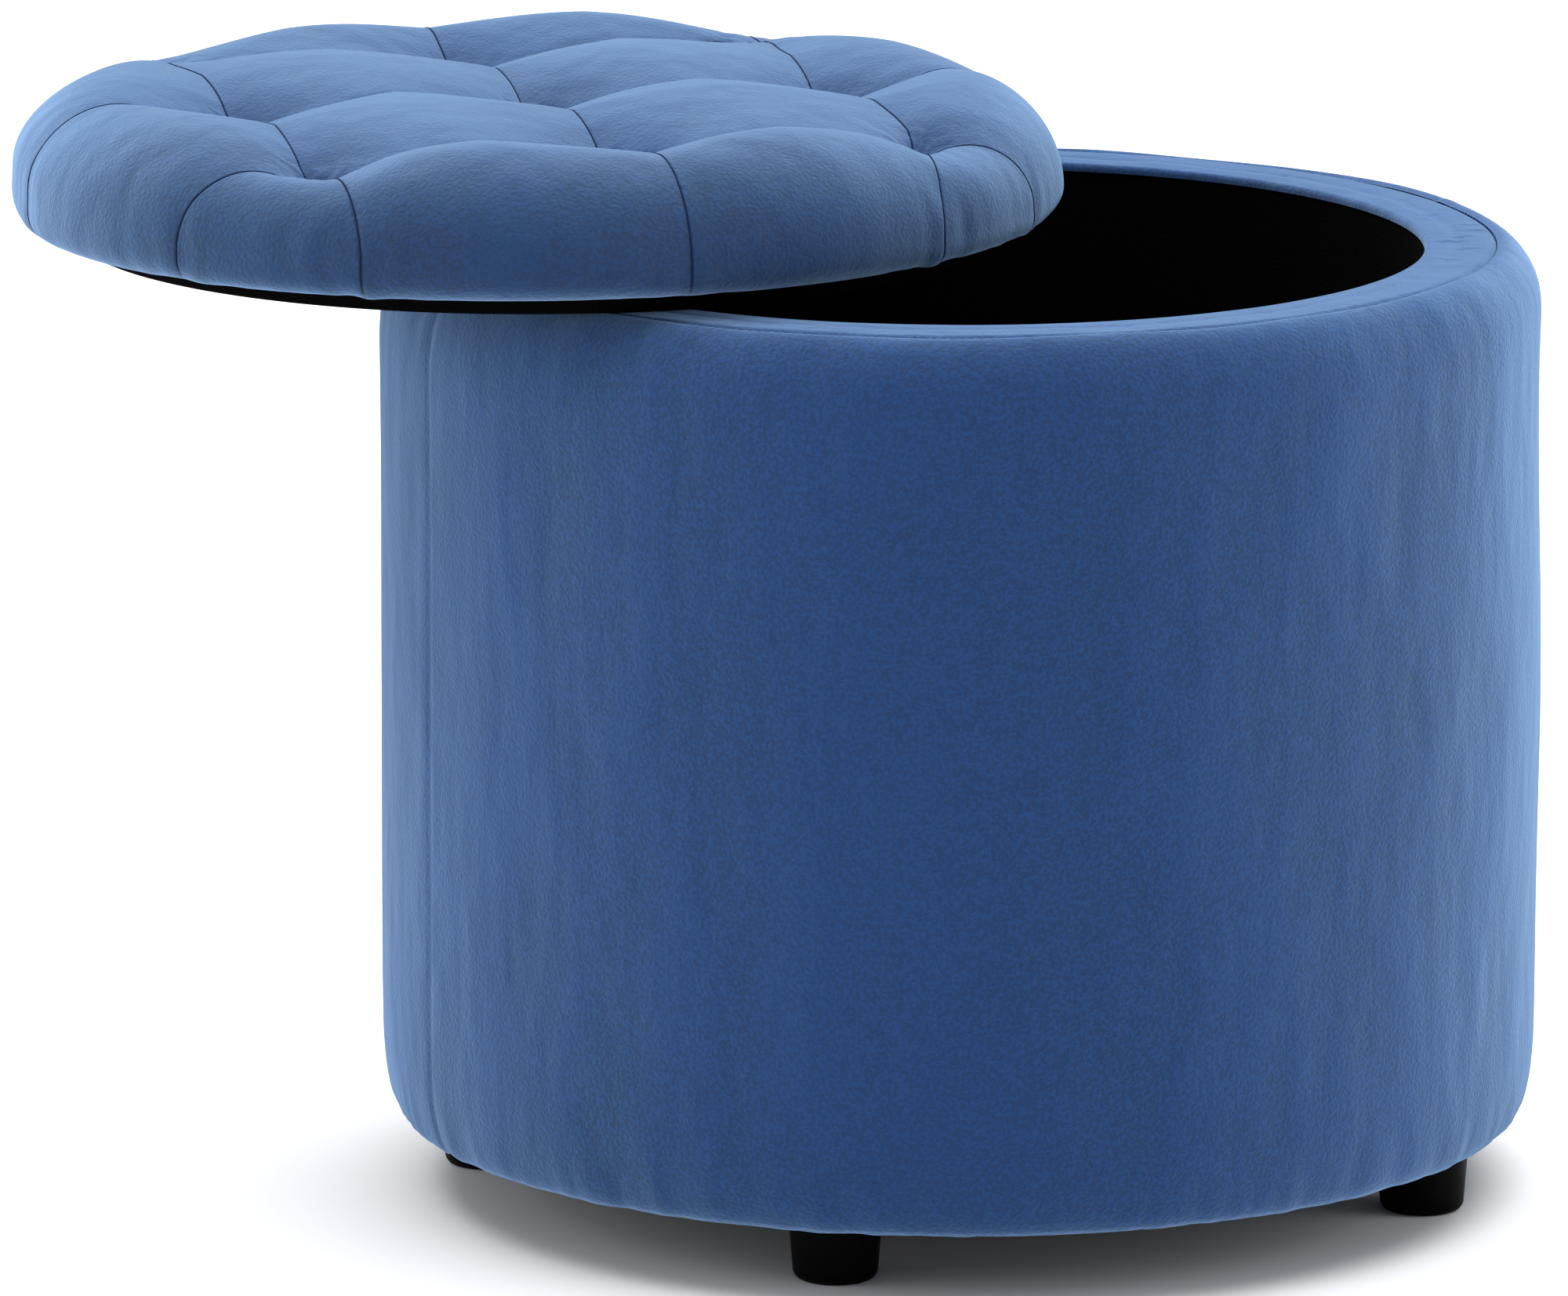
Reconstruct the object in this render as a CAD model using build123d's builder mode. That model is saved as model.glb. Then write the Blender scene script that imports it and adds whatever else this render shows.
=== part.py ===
from build123d import *
import os
from math import cos, radians, sin

os.makedirs("parts", exist_ok=True)

# A round storage ottoman: an upholstered drum on four plastic feet, and a loose
# tufted lid that rests across one side of the open rim.
# Millimetres, +Z up, floor at Z = 0. The front foot is on the -Y side.

# ---- driving dimensions: the drum ----
DRUM_R = 230.0             # outside of the velvet
FOOT_H = 30.0
DRUM_Z = FOOT_H            # underside of the velvet
RIM_Z = 380.0              # top of the velvet rim
OPENING_R = 184.0          # inside of the lining
SEAM_R = 212.0             # sewn seam between the rim ring and the side panel
BASE_FLAT_R = 221.5        # where the side starts to turn under
BASE_ROUND_H = 35.5
SHOULDER_R = 215.0         # where the flat rim turns down into the side
SHOULDER_H = 42.5

# ---- driving dimensions: the layers ----
VELVET = 1.5
LINING = 0.8
GAP = 0.2                  # slack left between one soft layer and the next
SKIN_OUT_R = 218.5         # bent plywood skin
SKIN_T = 3.0
LINER_T = 2.0              # card tube behind the lining
HOOP_IN_R = 187.0
BOARD_T = 12.0
TOP_HOOP_T = 18.0
TOP_HOOP_Z = 370.0         # top face of the upper hoop
HEM_IN_R = 198.0           # inner edge of the velvet turned under the base

# ---- driving dimensions: the lid ----
LID_SHIFT_X = -168.5       # lid centre from the drum axis
LID_SHIFT_Y = 11.0
LID_R = 208.5              # widest part of the pillowed edge
LID_BASE_R = 197.0         # lower edge of the velvet
LID_BULGE_H = 12.0         # height of the widest part above the lower edge
LID_H = 57.5               # lower edge to crown
LID_SHOULDER_W = 50.0
LID_BOARD_R = 190.0
LID_HEM_IN_R = 178.0
PLUG_R = 182.0             # disc that drops inside the opening
PLUG_H = 8.0
REST_GAP = 0.3             # pile between the plug and the rim it rests on

# ---- driving dimensions: tufts ----
TUFT_PITCH = 120.0
TUFT_TURN = 16.5           # degrees, the grid's turn about the lid's centre
TUFT_DEPTH = 30.0
WELL_TOP_R = 24.0
WELL_FOOT_R = 3.5
TWINE_R = 1.0

# ---- driving dimensions: feet and fasteners ----
FOOT_TOP_R = 18.7
FOOT_LOW_R = 16.4
FOOT_RECESS_R = 7.0
FOOT_RECESS_H = 12.0
FOOT_ROUND = 4.0
FOOT_BOLT_R = 3.0
FOOT_BOLT_HEAD_R = 6.0
FOOT_BOLT_HEAD_H = 4.0
NUT_R = 4.0
NUT_L = 9.0
NUT_FLANGE_R = 9.5
NUT_FLANGE_T = 1.5
NUT_SLACK = 0.1
SCREW_R = 2.0
SCREW_HEAD_R = 4.0
SCREW_HEAD_H = 2.0
PILOT_R = 2.2
STAPLE_CROWN = 10.0
STAPLE_WIRE = 0.9
STAPLE_LEG = 8.0
BATTEN_COUNT = 8
BATTEN_START = 22.5
BATTEN_DEEP = 26.0
BATTEN_WIDE = 20.0
BATTEN_SCREW_L = 50.0
STAPLE_COUNT = 24
LINER_STAPLE_COUNT = 16
BASE_STAPLE_R = 206.0
LID_STAPLE_R = 186.0
PLUG_SCREW_COUNT = 6
PLUG_SCREW_R = 145.0
PLUG_SCREW_START = 40.0
PLUG_SCREW_L = 15.0
WASHER_R = 4.0
WASHER_T = 1.2

# radius from the drum axis and compass angle of each foot
FEET = {
    "foot_front": (175.5, -105.7),
    "foot_right": (193.0, -17.5),
    "foot_back": (185.0, 74.0),
    "foot_left": (190.0, 176.6),
}

# ---- derived ----
# the frame's origin is the middle of the whole footprint, lid included
DRUM_X = (LID_R - LID_SHIFT_X - DRUM_R) / 2
LID_X = DRUM_X + LID_SHIFT_X
LID_Y = LID_SHIFT_Y
LID_Z = RIM_Z + REST_GAP + PLUG_H
BOARD_Z = DRUM_Z + VELVET
FLOOR_Z = BOARD_Z + BOARD_T
SKIN_IN_R = SKIN_OUT_R - SKIN_T
BASE_ROUND_W = DRUM_R - BASE_FLAT_R
SHOULDER_W = DRUM_R - SHOULDER_R
SHOULDER_Z = RIM_Z - SHOULDER_H
LINER_OUT_R = OPENING_R + LINING + LINER_T
TOP_HOOP_LOW = TOP_HOOP_Z - TOP_HOOP_T
BASE_HOOP_Z = FLOOR_Z + BOARD_T
BATTEN_R = (HOOP_IN_R + SKIN_IN_R) / 2
FOAM_INSET = VELVET + GAP

drum_axis = Axis((DRUM_X, 0, 0), (0, 0, 1))
drum_section = Plane(origin=(DRUM_X, 0, 0), x_dir=(1, 0, 0), z_dir=(0, -1, 0))
lid_axis = Axis((LID_X, LID_Y, 0), (0, 0, 1))
lid_section = Plane(origin=(LID_X, LID_Y, LID_Z), x_dir=(1, 0, 0), z_dir=(0, -1, 0))


def drum_plane(z):
    """Horizontal plane at height z, centred on the drum axis."""
    return Plane(origin=(DRUM_X, 0, z))


def lid_plane(h):
    """Horizontal plane at height h above the velvet's lower edge, on the lid axis."""
    return Plane(origin=(LID_X, LID_Y, LID_Z + h))


def save(part, name):
    """Label one sub-part and write its STEP file."""
    part.label = name
    export_step(part, "parts/" + name + ".step")


def tuft_points():
    """The nine tufts: a square grid turned about the lid's centre."""
    turn = radians(TUFT_TURN)
    points = []
    for row in (-1, 0, 1):
        for column in (-1, 0, 1):
            x = column * TUFT_PITCH
            y = row * TUFT_PITCH
            points.append((x * cos(turn) - y * sin(turn), x * sin(turn) + y * cos(turn)))
    return points


def foot_points():
    """Foot centres from the drum axis."""
    points = []
    for radius, angle in FEET.values():
        points.append((radius * cos(radians(angle)), radius * sin(radians(angle))))
    return points


def clear_of_feet(angle):
    """True where a staple at this angle misses all four feet."""
    for radius, foot_angle in FEET.values():
        apart = (angle - foot_angle + 180) % 360 - 180
        if abs(apart) < 9:
            return False
    return True


def drum_edge(inset, r_low, r_high):
    """The drum's outline, inset from the velvet, from under the base up to the rim."""
    Line((r_low, DRUM_Z + inset), (BASE_FLAT_R, DRUM_Z + inset))
    EllipticalCenterArc(
        center=(BASE_FLAT_R, DRUM_Z + BASE_ROUND_H),
        x_radius=BASE_ROUND_W - inset,
        y_radius=BASE_ROUND_H - inset,
        start_angle=-90,
        arc_size=90,
    )
    Line((DRUM_R - inset, DRUM_Z + BASE_ROUND_H), (DRUM_R - inset, SHOULDER_Z))
    EllipticalCenterArc(
        center=(SHOULDER_R, SHOULDER_Z),
        x_radius=SHOULDER_W - inset,
        y_radius=SHOULDER_H - inset,
        start_angle=0,
        arc_size=90,
    )
    Line((SHOULDER_R, RIM_Z - inset), (r_high, RIM_Z - inset))


def lid_edge(inset):
    """The lid's outline, inset from the velvet, from its lower edge to the crown."""
    EllipticalCenterArc(
        center=(LID_BASE_R, LID_BULGE_H),
        x_radius=LID_R - LID_BASE_R - inset,
        y_radius=LID_BULGE_H - inset,
        start_angle=-90,
        arc_size=90,
    )
    EllipticalCenterArc(
        center=(LID_R - LID_SHOULDER_W, LID_BULGE_H),
        x_radius=LID_SHOULDER_W - inset,
        y_radius=LID_H - LID_BULGE_H - inset,
        start_angle=0,
        arc_size=90,
    )
    Line((LID_R - LID_SHOULDER_W, LID_H - inset), (0, LID_H - inset))


def ring(r_in, r_out, z, height):
    """A plain hoop on the drum axis. Call inside a BuildPart."""
    with BuildSketch(drum_plane(z)) as band:
        Circle(r_out)
        Circle(r_in, mode=Mode.SUBTRACT)
    extrude(band.sketch, amount=height)


def cut_wells(slack):
    """Cut the nine tapered tufting wells, each wall `slack` outside the velvet's face."""
    top = LID_H + 4.0
    foot = LID_H - TUFT_DEPTH - slack
    slope = (WELL_TOP_R - WELL_FOOT_R) / TUFT_DEPTH
    with Locations(lid_plane(foot).location):
        with Locations(*tuft_points()):
            Cone(
                bottom_radius=WELL_FOOT_R + slack,
                top_radius=WELL_FOOT_R + slack + slope * (top - foot),
                height=top - foot,
                align=(Align.CENTER, Align.CENTER, Align.MIN),
                mode=Mode.SUBTRACT,
            )


def screw(length):
    """A countersunk wood screw, head up at the origin, shank down along -Z."""
    with BuildPart() as one:
        with Locations((0, 0, -SCREW_HEAD_H)):
            Cone(
                SCREW_R,
                SCREW_HEAD_R,
                SCREW_HEAD_H,
                align=(Align.CENTER, Align.CENTER, Align.MIN),
            )
        with Locations((0, 0, -length)):
            Cylinder(
                SCREW_R,
                length - SCREW_HEAD_H,
                align=(Align.CENTER, Align.CENTER, Align.MIN),
            )
        with Locations((0, 0, -length)):
            Cone(
                0.4,
                SCREW_R,
                4.0,
                align=(Align.CENTER, Align.CENTER, Align.MAX),
            )
    return one.part


def staple():
    """One staple: crown along Y in the plane Z = 0, legs up along +Z."""
    with BuildPart() as one:
        with BuildSketch(Plane.YZ):
            with Locations((0, (STAPLE_LEG + STAPLE_WIRE) / 2)):
                Rectangle(STAPLE_CROWN, STAPLE_LEG + STAPLE_WIRE)
            with Locations((0, STAPLE_WIRE + STAPLE_LEG / 2)):
                Rectangle(STAPLE_CROWN - 2 * STAPLE_WIRE, STAPLE_LEG, mode=Mode.SUBTRACT)
        extrude(amount=STAPLE_WIRE / 2, both=True)
    return one.part


# ================= drum: frame =================

with BuildPart() as bottom_board:
    with BuildSketch(drum_plane(BOARD_Z)):
        Circle(SKIN_IN_R - GAP)
    extrude(amount=BOARD_T)
    with Locations(drum_plane(FLOOR_Z).location):
        with Locations(*foot_points()):
            CounterBoreHole(NUT_R + GAP, NUT_FLANGE_R + GAP, NUT_FLANGE_T + GAP)
    with Locations(Location((DRUM_X, 0, BOARD_Z), (180, 0, 0))):
        with PolarLocations(BATTEN_R, BATTEN_COUNT, start_angle=BATTEN_START):
            CounterSinkHole(PILOT_R, SCREW_HEAD_R + GAP)
save(bottom_board.part, "bottom_board")

with BuildPart() as base_hoop:
    ring(HOOP_IN_R, SKIN_IN_R - GAP, FLOOR_Z, BOARD_T)
    with Locations(drum_plane(BASE_HOOP_Z).location):
        with PolarLocations(BATTEN_R, BATTEN_COUNT, start_angle=BATTEN_START):
            Hole(PILOT_R)
save(base_hoop.part, "base_hoop")

with BuildPart() as top_hoop:
    ring(HOOP_IN_R, SKIN_IN_R - GAP, TOP_HOOP_LOW, TOP_HOOP_T)
    with Locations(drum_plane(TOP_HOOP_Z).location):
        with PolarLocations(BATTEN_R, BATTEN_COUNT, start_angle=BATTEN_START):
            CounterSinkHole(PILOT_R, SCREW_HEAD_R + GAP)
save(top_hoop.part, "top_hoop")

with BuildPart() as battens:
    with BuildSketch(drum_plane(BASE_HOOP_Z)):
        with PolarLocations(BATTEN_R, BATTEN_COUNT, start_angle=BATTEN_START):
            Rectangle(BATTEN_DEEP, BATTEN_WIDE)
            Circle(PILOT_R, mode=Mode.SUBTRACT)
    extrude(amount=TOP_HOOP_LOW - BASE_HOOP_Z)
save(battens.part, "battens")

with BuildPart() as batten_screws:
    with Locations(drum_plane(TOP_HOOP_Z).location):
        with PolarLocations(BATTEN_R, BATTEN_COUNT, start_angle=BATTEN_START):
            add(screw(BATTEN_SCREW_L))
    with Locations(Location((DRUM_X, 0, BOARD_Z), (180, 0, 0))):
        with PolarLocations(BATTEN_R, BATTEN_COUNT, start_angle=BATTEN_START):
            add(screw(BATTEN_SCREW_L))
save(batten_screws.part, "batten_screws")

with BuildPart() as barrel_skin:
    ring(SKIN_IN_R, SKIN_OUT_R, BOARD_Z, TOP_HOOP_Z - BOARD_Z)
save(barrel_skin.part, "barrel_skin")

# ================= drum: upholstery =================

with BuildPart() as side_foam:
    with BuildSketch(drum_section):
        with BuildLine():
            Polyline(
                (BASE_FLAT_R, DRUM_Z + FOAM_INSET),
                (SKIN_OUT_R + GAP, DRUM_Z + FOAM_INSET),
                (SKIN_OUT_R + GAP, SHOULDER_Z - GAP),
                (DRUM_R - FOAM_INSET, SHOULDER_Z - GAP),
                (DRUM_R - FOAM_INSET, DRUM_Z + BASE_ROUND_H),
            )
            EllipticalCenterArc(
                center=(BASE_FLAT_R, DRUM_Z + BASE_ROUND_H),
                x_radius=BASE_ROUND_W - FOAM_INSET,
                y_radius=BASE_ROUND_H - FOAM_INSET,
                start_angle=-90,
                arc_size=90,
            )
        make_face()
    revolve(axis=drum_axis)
save(side_foam.part, "side_foam")

with BuildPart() as rim_foam:
    with BuildSketch(drum_section):
        with BuildLine():
            Polyline(
                (DRUM_R - FOAM_INSET, SHOULDER_Z),
                (SKIN_OUT_R + GAP, SHOULDER_Z),
                (SKIN_OUT_R + GAP, TOP_HOOP_Z + GAP),
                (HOOP_IN_R, TOP_HOOP_Z + GAP),
                (HOOP_IN_R, RIM_Z - FOAM_INSET),
                (SHOULDER_R, RIM_Z - FOAM_INSET),
            )
            EllipticalCenterArc(
                center=(SHOULDER_R, SHOULDER_Z),
                x_radius=SHOULDER_W - FOAM_INSET,
                y_radius=SHOULDER_H - FOAM_INSET,
                start_angle=0,
                arc_size=90,
            )
        make_face()
    revolve(axis=drum_axis)
save(rim_foam.part, "rim_foam")

# one velvet panel: turned under the base, up the side, over the shoulder to the seam
with BuildPart() as side_cover:
    with BuildSketch(drum_section):
        with BuildLine():
            drum_edge(0, HEM_IN_R, SEAM_R)
            drum_edge(VELVET, HEM_IN_R, SEAM_R)
            Line((HEM_IN_R, DRUM_Z), (HEM_IN_R, DRUM_Z + VELVET))
            Line((SEAM_R, RIM_Z), (SEAM_R, RIM_Z - VELVET))
        make_face()
    revolve(axis=drum_axis)
save(side_cover.part, "side_cover")

with BuildPart() as rim_cover:
    ring(OPENING_R, SEAM_R, RIM_Z - VELVET, VELVET)
save(rim_cover.part, "rim_cover")

with BuildPart() as base_staples:
    for step in range(STAPLE_COUNT):
        staple_angle = step * 360 / STAPLE_COUNT
        if clear_of_feet(staple_angle):
            with Locations(drum_plane(DRUM_Z).location):
                with PolarLocations(BASE_STAPLE_R, 1, start_angle=staple_angle):
                    add(staple())
save(base_staples.part, "base_staples")

# ================= drum: inside and underneath =================

with BuildPart() as liner_card:
    ring(OPENING_R + LINING + GAP / 2, LINER_OUT_R, FLOOR_Z, RIM_Z - VELVET - GAP - FLOOR_Z)
save(liner_card.part, "liner_card")

with BuildPart() as inner_lining:
    ring(OPENING_R, OPENING_R + LINING, FLOOR_Z, RIM_Z - VELVET - FLOOR_Z)
save(inner_lining.part, "inner_lining")

with BuildPart() as floor_lining:
    with BuildSketch(drum_plane(FLOOR_Z)):
        Circle(OPENING_R - GAP)
    extrude(amount=LINING)
save(floor_lining.part, "floor_lining")

with BuildPart() as liner_staples:
    with Locations(drum_plane(TOP_HOOP_Z - TOP_HOOP_T / 2).location):
        with PolarLocations(OPENING_R + LINING + GAP / 2, LINER_STAPLE_COUNT):
            with Locations(Location((0, 0, 0), (0, 90, 0))):
                add(staple())
save(liner_staples.part, "liner_staples")

with BuildPart() as dust_cover:
    with BuildSketch(drum_plane(DRUM_Z)):
        Circle(HEM_IN_R - GAP)
        with Locations(*foot_points()):
            Circle(FOOT_BOLT_R + GAP, mode=Mode.SUBTRACT)
    extrude(amount=VELVET)
save(dust_cover.part, "dust_cover")

# ================= drum: feet =================

for foot_name, (foot_r, foot_angle) in FEET.items():
    with BuildPart() as foot:
        with Locations(drum_plane(0).location):
            with PolarLocations(foot_r, 1, start_angle=foot_angle):
                Cone(
                    FOOT_LOW_R,
                    FOOT_TOP_R,
                    FOOT_H,
                    align=(Align.CENTER, Align.CENTER, Align.MIN),
                )
                fillet(foot.edges().group_by(Axis.Z)[0], radius=FOOT_ROUND)
                Cylinder(
                    FOOT_RECESS_R,
                    FOOT_RECESS_H,
                    align=(Align.CENTER, Align.CENTER, Align.MIN),
                    mode=Mode.SUBTRACT,
                )
                Cylinder(
                    FOOT_BOLT_R + GAP,
                    FOOT_H,
                    align=(Align.CENTER, Align.CENTER, Align.MIN),
                    mode=Mode.SUBTRACT,
                )
    save(foot.part, foot_name)

with BuildPart() as foot_bolts:
    with Locations(drum_plane(FOOT_RECESS_H).location):
        with Locations(*foot_points()):
            Cylinder(
                FOOT_BOLT_HEAD_R,
                FOOT_BOLT_HEAD_H,
                align=(Align.CENTER, Align.CENTER, Align.MAX),
            )
            Cylinder(
                FOOT_BOLT_R - NUT_SLACK,
                FLOOR_Z - GAP - FOOT_RECESS_H,
                align=(Align.CENTER, Align.CENTER, Align.MIN),
            )
save(foot_bolts.part, "foot_bolts")

with BuildPart() as foot_nuts:
    with Locations(drum_plane(FLOOR_Z - GAP).location):
        with Locations(*foot_points()):
            Cylinder(
                NUT_FLANGE_R,
                NUT_FLANGE_T,
                align=(Align.CENTER, Align.CENTER, Align.MAX),
            )
            Cylinder(
                NUT_R,
                NUT_L,
                align=(Align.CENTER, Align.CENTER, Align.MAX),
            )
            Cylinder(
                FOOT_BOLT_R,
                NUT_L,
                align=(Align.CENTER, Align.CENTER, Align.MAX),
                mode=Mode.SUBTRACT,
            )
save(foot_nuts.part, "foot_nuts")

# ================= lid =================

with BuildPart() as lid_board:
    with BuildSketch(lid_plane(VELVET)):
        Circle(LID_BOARD_R)
        with Locations(*tuft_points()):
            Circle(TWINE_R + GAP, mode=Mode.SUBTRACT)
    extrude(amount=BOARD_T)
    with Locations(Location((LID_X, LID_Y, LID_Z), (180, 0, 0))):
        with PolarLocations(PLUG_SCREW_R, PLUG_SCREW_COUNT, start_angle=PLUG_SCREW_START):
            Hole(PILOT_R)
save(lid_board.part, "lid_board")

with BuildPart() as lid_foam:
    with BuildSketch(lid_section):
        with BuildLine():
            lid_edge(FOAM_INSET)
            Polyline(
                (0, LID_H - FOAM_INSET),
                (0, VELVET + BOARD_T + GAP),
                (LID_BOARD_R + GAP, VELVET + BOARD_T + GAP),
                (LID_BOARD_R + GAP, FOAM_INSET),
                (LID_BASE_R, FOAM_INSET),
            )
        make_face()
    revolve(axis=lid_axis)
    cut_wells(VELVET + 2 * GAP)
    with BuildSketch(lid_plane(0)):
        with Locations(*tuft_points()):
            Circle(TWINE_R + GAP)
    extrude(amount=LID_H, mode=Mode.SUBTRACT)
save(lid_foam.part, "lid_foam")

# the space the velvet wraps round: board, foam and the wells' far walls
with BuildPart() as lid_inside:
    with BuildSketch(lid_section):
        with BuildLine():
            lid_edge(VELVET)
            Polyline((0, LID_H - VELVET), (0, VELVET), (LID_BASE_R, VELVET))
        make_face()
    revolve(axis=lid_axis)
    cut_wells(VELVET)

with BuildPart() as lid_cover:
    with BuildSketch(lid_section):
        with BuildLine():
            lid_edge(0)
            Polyline((0, LID_H), (0, 0), (LID_BASE_R, 0))
        make_face()
    revolve(axis=lid_axis)
    cut_wells(0)
    add(lid_inside.part, mode=Mode.SUBTRACT)
    with BuildSketch(lid_plane(0)):
        Circle(LID_HEM_IN_R)
    extrude(amount=VELVET, mode=Mode.SUBTRACT)
save(lid_cover.part, "lid_cover")

with BuildPart() as lid_staples:
    with Locations(lid_plane(0).location):
        with PolarLocations(LID_STAPLE_R, STAPLE_COUNT):
            add(staple())
save(lid_staples.part, "lid_staples")

with BuildPart() as tuft_twines:
    with BuildSketch(lid_plane(GAP)):
        with Locations(*tuft_points()):
            Circle(TWINE_R)
    extrude(amount=LID_H - TUFT_DEPTH - VELVET - 2 * GAP)
save(tuft_twines.part, "tuft_twines")

with BuildPart() as tuft_washers:
    with BuildSketch(lid_plane(GAP)):
        with Locations(*tuft_points()):
            Circle(WASHER_R)
            Circle(TWINE_R + GAP / 2, mode=Mode.SUBTRACT)
    extrude(amount=WASHER_T)
save(tuft_washers.part, "tuft_washers")

with BuildPart() as lid_plug:
    with BuildSketch(lid_plane(LINING - PLUG_H)):
        Circle(PLUG_R - LINING - GAP)
    extrude(amount=PLUG_H - LINING - GAP)
    with Locations(Location((LID_X, LID_Y, LID_Z + LINING - PLUG_H), (180, 0, 0))):
        with PolarLocations(PLUG_SCREW_R, PLUG_SCREW_COUNT, start_angle=PLUG_SCREW_START):
            CounterSinkHole(PILOT_R, SCREW_HEAD_R + GAP)
save(lid_plug.part, "lid_plug")

with BuildPart() as plug_cover:
    with BuildSketch(lid_plane(-PLUG_H)):
        Circle(PLUG_R)
    extrude(amount=PLUG_H - GAP)
    fillet(plug_cover.edges().group_by(Axis.Z)[0], radius=LINING)
    with BuildSketch(lid_plane(LINING - PLUG_H)):
        Circle(PLUG_R - LINING)
    extrude(amount=PLUG_H, mode=Mode.SUBTRACT)
save(plug_cover.part, "plug_cover")

with BuildPart() as plug_screws:
    with Locations(Location((LID_X, LID_Y, LID_Z + LINING - PLUG_H), (180, 0, 0))):
        with PolarLocations(PLUG_SCREW_R, PLUG_SCREW_COUNT, start_angle=PLUG_SCREW_START):
            add(screw(PLUG_SCREW_L))
save(plug_screws.part, "plug_screws")
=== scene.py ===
from math import cos, pi, radians, sin

import bpy
import numpy as np
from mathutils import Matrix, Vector


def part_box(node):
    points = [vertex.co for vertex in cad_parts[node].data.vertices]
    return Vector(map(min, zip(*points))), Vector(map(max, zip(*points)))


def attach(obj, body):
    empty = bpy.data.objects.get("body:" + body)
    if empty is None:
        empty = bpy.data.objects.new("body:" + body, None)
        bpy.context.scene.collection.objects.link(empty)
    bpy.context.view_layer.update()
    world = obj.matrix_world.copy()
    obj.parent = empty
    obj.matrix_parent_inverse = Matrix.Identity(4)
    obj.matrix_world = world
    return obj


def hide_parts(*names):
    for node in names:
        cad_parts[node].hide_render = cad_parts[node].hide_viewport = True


# A round velvet storage ottoman with its tufted lid set aside across the open rim.
# Lengths are metres in the CAD model's frame. Compass angles run from +X towards +Y.

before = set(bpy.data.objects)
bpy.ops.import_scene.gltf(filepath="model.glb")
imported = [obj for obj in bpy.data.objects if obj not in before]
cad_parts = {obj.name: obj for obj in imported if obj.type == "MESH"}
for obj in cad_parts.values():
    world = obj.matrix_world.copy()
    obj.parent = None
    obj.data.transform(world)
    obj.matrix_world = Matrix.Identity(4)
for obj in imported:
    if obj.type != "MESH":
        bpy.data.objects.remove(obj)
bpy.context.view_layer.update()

# ---- where the CAD put things ----
side_lo, side_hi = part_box("side_cover")
ring_lo, ring_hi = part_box("rim_cover")
lid_lo, lid_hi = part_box("lid_cover")
liner_lo, liner_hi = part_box("inner_lining")

DRUM_X = (side_lo[0] + side_hi[0]) / 2
DRUM_Y = (side_lo[1] + side_hi[1]) / 2
DRUM_R = (side_hi[0] - side_lo[0]) / 2
DRUM_Z = side_lo[2]
RIM_Z = side_hi[2]
SEAM_R = (ring_hi[0] - ring_lo[0]) / 2
LINING_R = (liner_hi[0] - liner_lo[0]) / 2
LID_X = (lid_lo[0] + lid_hi[0]) / 2
LID_Y = (lid_lo[1] + lid_hi[1]) / 2
LID_R = (lid_hi[0] - lid_lo[0]) / 2
LID_Z = lid_lo[2]
LID_H = lid_hi[2] - lid_lo[2]

# ---- how finely the velvet is modelled ----
RING_STEPS = 840
SIDE_STEP = 0.0040
LID_STEP = 0.0016
# the rim ring, and the last stretch of the side up to its seam, are modelled finely
FINE_STEP = 0.0006
FINE_STRETCH = 0.012

# ---- the drum's side ----
DRUM_HEM_R = 0.198
BASE_FLAT_R = DRUM_R - 0.0085
BASE_ROUND_H = 0.0355
SHOULDER_R = DRUM_R - 0.0175
SHOULDER_H = 0.0400
# the seam between the side and the rim ring is drawn into the padding
GROOVE_DEPTH = 0.0015
GROOVE_WIDTH = 0.0018
# two sewn joins run down the side, each with one lip where its allowance lies behind
JOINS = (radians(-154.1), radians(25.9))
JOIN_DEPTH = 0.0007
JOIN_WIDTH = 0.0011
LIP_HEIGHT = 0.00022
LIP_WIDTH = 0.005
LIP_ASIDE = 0.007
# the padding is fuller at the shoulder and half-way up, mostly on the side away from the lid
FULL_ANGLE = radians(-10)
FULL_SPREAD = 0.45
SHOULDER_FULL = 0.0005
SHOULDER_FULLER = 0.0025
SHOULDER_FULL_Z = RIM_Z - 0.014
SHOULDER_FULL_BAND = 0.015
SIDE_FULL = 0.0018
SIDE_FULL_Z = DRUM_Z + 0.185
SIDE_FULL_BAND = 0.075
# broad slack in the cloth, and short gathers where it turns under the base
SLACK = 0.0005
SLACK_SIZE = 0.16
GATHER = 0.0004
GATHER_SIZE = 0.022
GATHER_Z = DRUM_Z + 0.008
GATHER_BAND = 0.012

# ---- the rim ring ----
LINING_T = 0.0008
OPENING_R = LINING_R - LINING_T
# from its seam the ring falls slightly, rolls over the edge and turns in over the lining
RIM_FALL = 0.0006
RIM_ROLL = 0.0022
RIM_TURN_IN = 0.0010
RIM_WRAP = 0.0006
# a soft dip runs round it, this far across from the seam, 0 to 1
RIM_DIP = 0.0004
RIM_DIP_ACROSS = 0.55
RIM_DIP_BAND = 0.09
RIM_UNEVEN = 0.0003
RIM_UNEVEN_SIZE = 0.05
# compass angle in degrees, middle across the ring from 0 to 1, depth
RIM_CREASES = (
    (-13.0, 0.55, 0.0005),
    (-6.0, 0.35, 0.0004),
    (-1.0, 0.70, 0.0006),
    (1.5, 0.45, 0.0007),
    (5.5, 0.20, 0.0005),
    (9.0, 0.30, 0.0004),
    (17.0, 0.60, 0.0005),
    (48.0, 0.50, 0.0003),
    (-71.0, 0.50, 0.0003),
)
CREASE_WIDTH = 0.0011
CREASE_REACH = 0.22
RIDGE_WIDTH = 0.0016
RIDGE_ASIDE = 0.0028

# ---- the stitches in the rim seam ----
STITCH_PITCH = 0.0036
STITCH_LENGTH = 0.0026
STITCH_R = 0.0004
STITCH_SIDES = 6
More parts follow.
